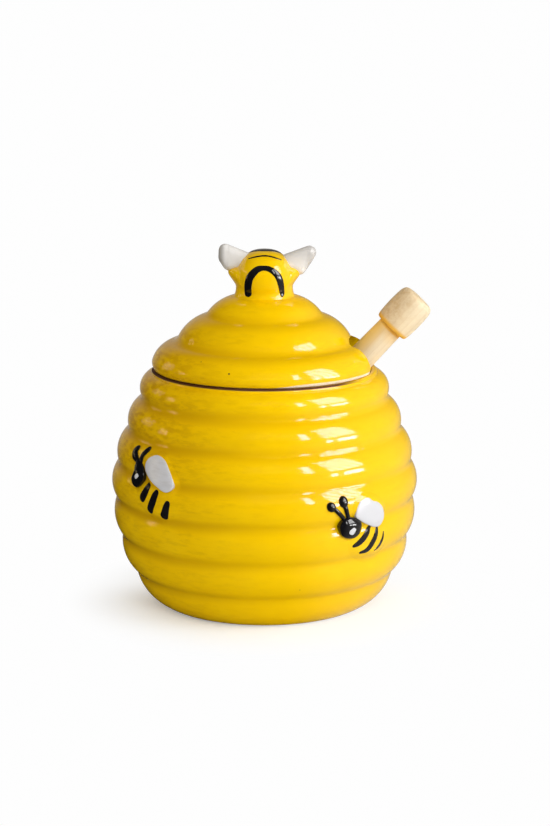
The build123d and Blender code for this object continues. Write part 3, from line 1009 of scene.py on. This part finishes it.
def settle(rider, piece, material, node=None):
    """Glazes a piece and ties it to the moving part that carries it, in place of a plain node."""
    dress(piece, glazes()[material])
    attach(piece, rider)
    if node:
        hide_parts(node)


# ---- Operators ---------------------------------------------------------------------------------
class HONEYPOT_OT_pot(bpy.types.Operator):
    """Glaze the pot, with bare clay under its foot"""

    bl_idname = "honeypot.pot"
    bl_label = "Glaze the pot"

    def execute(self, context):
        dress(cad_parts["pot_body"], glazes()["yellow_glaze"])
        return {"FINISHED"}


class HONEYPOT_OT_lid(bpy.types.Operator):
    """Glaze the lid, with bare clay where it sits"""

    bl_idname = "honeypot.lid"
    bl_label = "Glaze the lid"

    def execute(self, context):
        dress(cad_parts["lid_shell"], glazes()["lid_yellow_glaze"])
        return {"FINISHED"}


class HONEYPOT_OT_bees(bpy.types.Operator):
    """Lay the four relief bees on the pot's wall"""

    bl_idname = "honeypot.bees"
    bl_label = "Relief bees"

    def execute(self, context):
        sizes = context.scene.honey_pot_bees
        for face in BEE_FACES:
            for side, bee in BEE_SIDES.items():
                self.lay(f"{face}_{side}_bee", bee, face, sizes)
        return {"FINISHED"}

    def lay(self, name, bee, face, sizes):
        surface = bee_surface(bee, face)
        body = bee_swell(f"{name}_body_swell", bee, face)
        settle("pot", body, "yellow_glaze", f"{name}_body")
        raised = bee_surface(bee, face, 0.5)
        wing = pad(f"{name}_wing_pad", bee["wing"], raised, sizes.wing_rise / MM, flatness=3.0, sink=3.0)
        settle("pot", wing, "white_glaze", f"{name}_wings")
        level = bee_surface(bee, face, 0.0)
        head = pad(f"{name}_head_dome", bee["head"], level, sizes.head_rise / MM, sink=3.0)
        settle("pot", head, "black_glaze", f"{name}_head")

        def on_head(along, across):
            place, normal = level(along, across)
            return place + normal * (sizes.head_rise / MM * 0.86), normal

        eye = pad(f"{name}_eye", bee["eye"], on_head, 0.35, rings=8, sink=0.6)
        settle("pot", eye, "white_glaze")
        for number, path in enumerate(bee["antennae"], 1):
            antenna = stroke(f"{name}_antenna_{number}", path, surface, sizes.antenna_rise / MM)
            settle("pot", antenna, "black_glaze")
        for number, (along, across, length, width, turn) in enumerate(bee["balls"], 1):
            outline = [
                (
                    along + length * cos(t) * cos(radians(turn)) - width * sin(t) * sin(radians(turn)),
                    across + length * cos(t) * sin(radians(turn)) + width * sin(t) * cos(radians(turn)),
                )
                for t in np.linspace(0, 2 * pi, 8, endpoint=False)
            ]
            ball = pad(f"{name}_antenna_ball_{number}", outline, surface, 1.2, rings=10)
            settle("pot", ball, "black_glaze")
        for number, path in enumerate(bee["stripes"], 1):
            stripe = stroke(f"{name}_stripe_{number}", path, surface, sizes.glaze_thickness / MM)
            settle("pot", stripe, "black_glaze")


class HONEYPOT_OT_knob(bpy.types.Operator):
    """Shape and paint the bee on the lid"""

    bl_idname = "honeypot.knob"
    bl_label = "Knob bee"

    def execute(self, context):
        sizes = context.scene.honey_pot_bees
        body = knob_body("knob_bee_body_soft")
        settle("lid", body, "knob_yellow_glaze", "knob_bee_body")
        for side in ("left", "right"):
            wing = knob_wing(f"knob_bee_wing_{side}_soft", side)
            settle("lid", wing, "wing_white_glaze", f"knob_bee_wing_{side}")
        head = soft_copy("knob_bee_head_soft", "knob_bee_head", 0.3, 8)
        settle("lid", head, "black_glaze", "knob_bee_head")
        tilt = radians(KNOB_VIEW_TILT)
        look = Vector((0, cos(tilt), -sin(tilt)))
        tail = mesh_surface(
            body,
            lambda across, up: Vector((across, up * sin(tilt), KNOB_VIEW_HEIGHT + up * cos(tilt))) - look * 60,
            lambda across, up: look,
        )
        rise = sizes.glaze_thickness / MM
        arch = stroke("knob_bee_tail_arch", KNOB_ARCH, tail, rise * 1.3)
        line = stroke("knob_bee_fine_stripe", KNOB_LINE, tail, rise)

        def outward(arc):
            return Vector((sin(arc / KNOB_RADIUS), 0, cos(arc / KNOB_RADIUS)))

        over = mesh_surface(
            body,
            lambda arc, back: Vector((0, back, KNOB_CENTRE[1])) + outward(arc) * 40,
            lambda arc, back: -outward(arc),
        )
        band = stroke("knob_bee_broad_stripe", KNOB_BAND, over, rise, across=14)
        for painted in (arch, line, band):
            settle("lid", painted, "black_glaze")
        return {"FINISHED"}


class HONEYPOT_OT_dipper(bpy.types.Operator):
    """Give the dipper its beech grain"""

    bl_idname = "honeypot.dipper"
    bl_label = "Beech dipper"

    def execute(self, context):
        dress(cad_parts["honey_dipper"], beech_material())
        cap = self.turned_cap("dipper_cap_turned")
        dress(cap, bpy.data.materials["turned_beech"])
        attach(cap, "dipper")
        return {"FINISHED"}

    def turned_cap(self, name):
        """The cap of the dipper with its barrelled side and well rounded edges."""
        sides = 72
        profile = smooth_path(CAP_PROFILE[1:-1], 4)
        lean = Matrix.Rotation(radians(90 - DIPPER_LEAN), 3, "Y")
        tip = Vector(DIPPER_TIP)
        vertices = [
            tip + lean @ Vector((r * cos(2 * pi * i / sides), r * sin(2 * pi * i / sides), along))
            for r, along in profile
            for i in range(sides)
        ]
        vertices += [tip + lean @ Vector((0, 0, CAP_PROFILE[k][1])) for k in (0, -1)]
        low, high = len(vertices) - 2, len(vertices) - 1
        last = (len(profile) - 1) * sides
        faces = []
        for i in range(sides):
            j = (i + 1) % sides
            faces += [(k + i, k + j, k + sides + j, k + sides + i) for k in range(0, last, sides)]
            faces += [(low, j, i), (high, last + i, last + j)]
        return new_object(name, vertices, faces)


class HONEYPOT_OT_studio(bpy.types.Operator):
    """Set the table, the light and the camera"""

    bl_idname = "honeypot.studio"
    bl_label = "Studio"

    def execute(self, context):
        studio = context.scene.honey_pot_studio
        self.floor(context)
        self.light(context, studio)
        self.camera(context, studio)
        context.scene.view_settings.view_transform = "Standard"
        return {"FINISHED"}

    def floor(self, context):
        sides = 96
        rings = (0.0, 0.3, 1.2, 15.0)
        work = bmesh.new()
        last = [work.verts.new((0, 0, -0.02 * MM))]
        for radius in rings[1:]:
            ring = [
                work.verts.new((radius * cos(2 * pi * i / sides), radius * sin(2 * pi * i / sides), -0.02 * MM))
                for i in range(sides)
            ]
            for i in range(sides):
                j = (i + 1) % sides
                inner = [last[i], last[j]] if len(last) > 1 else last
                work.faces.new([inner[0], ring[i], ring[j], *inner[1:]])
            last = ring
        mesh = bpy.data.meshes.new("table")
        work.to_mesh(mesh)
        work.free()
        table = bpy.data.objects.new("table", mesh)
        context.scene.collection.objects.link(table)
        material, tree, shader = new_material("white_table")
        shader.inputs["Base Color"].default_value = (0.82, 0.88, 0.96, 1)
        shader.inputs["Roughness"].default_value = 0.6
        shader.inputs["Specular IOR Level"].default_value = 0.1
        out = next(n for n in tree.nodes if n.type == "OUTPUT_MATERIAL")
        place = put(tree, "ShaderNodeTexCoord").outputs["Object"]
        reach = put(tree, "ShaderNodeVectorMath", operation="LENGTH", inputs={0: place}).outputs["Value"]
        # The shadow lies on the table near the pot, and the table is plain white further out
        parts = put(tree, "ShaderNodeSeparateXYZ", inputs={0: place}).outputs
        near = spread(tree, reach, 0.075, 0.041)
        near = math(tree, "MULTIPLY", near, spread(tree, parts["X"], 0.03, -0.025, 0.45, 0.98))
        near = math(tree, "MULTIPLY", near, spread(tree, parts["Y"], 0.022, -0.012, 0.35, 1.0))
        lit = 0.726
        plain = math(tree, "SUBTRACT", 1.0, near)
        lift = math(tree, "DIVIDE", math(tree, "SUBTRACT", WHITE, math(tree, "MULTIPLY", near, lit)), plain)
        path = put(tree, "ShaderNodeLightPath").outputs
        white = put(tree, "ShaderNodeEmission", inputs={"Color": (1, 1, 1, 1), "Strength": lift})
        seen = math(tree, "MAXIMUM", path["Is Camera Ray"], path["Is Transmission Ray"])
        plain = math(tree, "MULTIPLY", seen, plain)
        shown = put(
            tree, "ShaderNodeMixShader", inputs={0: plain, 1: shader.outputs[0], 2: white.outputs[0]}
        )
        away = put(tree, "ShaderNodeVectorMath", operation="NORMALIZE", inputs={0: place}).outputs["Vector"]
        mirrored = put(
            tree, "ShaderNodeEmission", inputs={"Color": ROOM, "Strength": self.backdrop(tree, away, 0.35, 0.5)}
        )
        mixed = put(
            tree, "ShaderNodeMixShader",
            inputs={0: path["Is Glossy Ray"], 1: shown.outputs[0], 2: mirrored.outputs[0]},
        )
        tree.links.new(mixed.outputs[0], out.inputs["Surface"])
        mesh.materials.append(material)

    def light(self, context, studio):
        world = bpy.data.worlds.new("pale_room")
        context.scene.world = world
        world.use_nodes = True
        tree = world.node_tree
        tree.nodes.clear()
        path = put(tree, "ShaderNodeLightPath").outputs
        shown = math(tree, "MAXIMUM", path["Is Camera Ray"], path["Is Transmission Ray"])
        # In the glaze the white backdrop shows behind the pot, and the room before it is dim
        way = put(tree, "ShaderNodeTexCoord").outputs["Generated"]
        mirrored = self.backdrop(tree, way, 0.1, 0.4)
        strength = math(tree, "SUBTRACT", mirrored, studio.room_level)
        strength = math(tree, "MULTIPLY_ADD", path["Is Glossy Ray"], strength, studio.room_level)
        room = put(tree, "ShaderNodeBackground", inputs={"Color": ROOM, "Strength": strength})
        white = put(tree, "ShaderNodeBackground", inputs={"Color": (1, 1, 1, 1), "Strength": WHITE})
        mixed = put(tree, "ShaderNodeMixShader", inputs={0: shown, 1: room.outputs[0], 2: white.outputs[0]})
        put(tree, "ShaderNodeOutputWorld", inputs={"Surface": mixed.outputs[0]})
        # Light on the pot, unseen in its glaze: the window, the table beside it and the front
        for name, azimuth, bottom, top, width, distance, level in (
            ("window", 63.8, 0.01, 1.24, 0.68, 1.25, studio.window_level),
            ("bright_table", 100.0, 0.0, 0.3, 0.6, 0.7, studio.side_level),
            ("front_fill", 5.0, 0.7, 2.1, 1.2, 1.5, studio.fill_level),
        ):
            holder = self.lamp(context, name, azimuth, bottom, top, width, distance, level)
            holder.visible_glossy = False
        # Shine in the glaze only: the window's panes on the right and a warm room on the left
        pane, room = studio.pane_level, (1.0, 0.82, 0.50)
        for name, azimuth, bottom, top, width, level, colour, pattern in (
            ("tall_pane", 66.0, 0.35, 1.44, 0.66, pane, (1, 1, 1), self.blinds),
            ("low_pane_left", 53.7, 0.01, 0.215, 0.12, 1.6 * pane, (1, 1, 1), None),
            ("low_pane_right", 70.8, 0.01, 0.215, 0.37, 1.6 * pane, (1, 1, 1), None),
            ("side_pane", 34.5, 0.38, 1.0, 0.14, 1.2 * pane, (1, 1, 1), None),
            ("room_lamp", -92.0, 0.06, 0.45, 0.22, 14.0, room, self.patches),
            ("room_shelf", -118.0, 0.2, 0.6, 0.34, 6.0, room, self.patches),
        ):
            holder = self.lamp(context, name, azimuth, bottom, top, width, 1.15, level)
            holder.visible_diffuse = False
            holder.data.color = colour
            if pattern:
                pattern(holder.data.node_tree, level)

    def backdrop(self, tree, way, behind_right, right):
        """Brightness that the glaze mirrors: pale behind the pot and beside it on the right."""
        parts = put(tree, "ShaderNodeSeparateXYZ", inputs={0: way}).outputs
        behind = math(tree, "POWER", math(tree, "MULTIPLY_ADD", parts["Y"], 2.5, -1.55, clamp=True), 2.0)
        share = spread(tree, parts["X"], 0.5, -0.5, behind_right, 0.62)
        return math(tree, "MULTIPLY_ADD", behind, share, spread(tree, parts["X"], 0.2, 0.9, 0.01, right))

    def lamp(self, context, name, azimuth, bottom, top, width, distance, level):
        """An upright lamp that faces the pot."""
        lamp = bpy.data.lights.new(name, "AREA")
        lamp.shape = "RECTANGLE"
        lamp.size, lamp.size_y = width, top - bottom
        lamp.energy = pi * width * (top - bottom)
        lamp.use_nodes = True
        lamp.node_tree.nodes["Emission"].inputs["Strength"].default_value = level
        holder = bpy.data.objects.new(name, lamp)
        away = Vector((sin(radians(azimuth)), -cos(radians(azimuth)), 0))
        holder.location = away * distance + Vector((0, 0, (bottom + top) / 2))
        holder.rotation_euler = away.to_track_quat("Z", "Y").to_euler()
        context.scene.collection.objects.link(holder)
        return holder

    def patches(self, tree, level):
        """Scattered patches of light."""
        place = put(tree, "ShaderNodeNewGeometry").outputs["Parametric"]
        shine = math(tree, "MULTIPLY", spread(tree, noise(tree, place, 10.0, 2.0), 0.55, 0.62), level)
        tree.links.new(shine, tree.nodes["Emission"].inputs["Strength"])

    def blinds(self, tree, level):
        """Light between slanting blinds."""
        place = put(tree, "ShaderNodeNewGeometry").outputs["Parametric"]
        parts = put(tree, "ShaderNodeSeparateXYZ", inputs={0: place}).outputs
        slant = math(tree, "MULTIPLY_ADD", parts["X"], 4.2, math(tree, "MULTIPLY", parts["Y"], 2.6))
        slats = spread(tree, math(tree, "PINGPONG", slant, 0.5), 0.04, 0.34, 0.2, 1.25)
        shine = math(tree, "MULTIPLY", slats, level)
        tree.links.new(shine, tree.nodes["Emission"].inputs["Strength"])

    def camera(self, context, studio):
        lens = bpy.data.cameras.new("camera")
        lens.sensor_fit = "VERTICAL"
        lens.sensor_height = 36.0
        lens.lens = 2210 / 826 * lens.sensor_height
        holder = bpy.data.objects.new("camera", lens)
        pitch, distance = studio.camera_pitch, studio.camera_distance
        holder.location = (
            3.8 * MM, -distance * cos(pitch), KNOB_VIEW_HEIGHT * MM + distance * sin(pitch)
        )
        holder.rotation_euler = (pi / 2 - pitch, 0, 0)
        context.scene.collection.objects.link(holder)
        context.scene.camera = holder


class HONEYPOT_PT_panel(bpy.types.Panel):
    bl_label = "Honey pot"
    bl_space_type = "VIEW_3D"
    bl_region_type = "UI"
    bl_category = "Honey pot"

    def draw(self, context):
        for group in SETTINGS:
            box = self.layout.box()
            settings = getattr(context.scene, group)
            for name in settings.__annotations__:
                box.prop(settings, name)
        for operator in OPERATORS:
            self.layout.operator(operator.bl_idname)


SETTINGS = {
    "honey_pot_glaze": HoneyPotGlaze,
    "honey_pot_bees": HoneyPotBees,
    "honey_pot_wood": HoneyPotWood,
    "honey_pot_studio": HoneyPotStudio,
}
OPERATORS = (
    HONEYPOT_OT_pot,
    HONEYPOT_OT_lid,
    HONEYPOT_OT_bees,
    HONEYPOT_OT_knob,
    HONEYPOT_OT_dipper,
    HONEYPOT_OT_studio,
)


def register():
    for cls in (*SETTINGS.values(), *OPERATORS, HONEYPOT_PT_panel):
        bpy.utils.register_class(cls)
    for name, cls in SETTINGS.items():
        setattr(bpy.types.Scene, name, PointerProperty(type=cls))


def unregister():
    for name in SETTINGS:
        delattr(bpy.types.Scene, name)
    for cls in (HONEYPOT_PT_panel, *OPERATORS[::-1], *list(SETTINGS.values())[::-1]):
        bpy.utils.unregister_class(cls)


def main():
    register()
    bpy.ops.honeypot.pot()
    bpy.ops.honeypot.lid()
    bpy.ops.honeypot.bees()
    bpy.ops.honeypot.knob()
    bpy.ops.honeypot.dipper()
    bpy.ops.honeypot.studio()


if __name__ == "__main__":
    main()
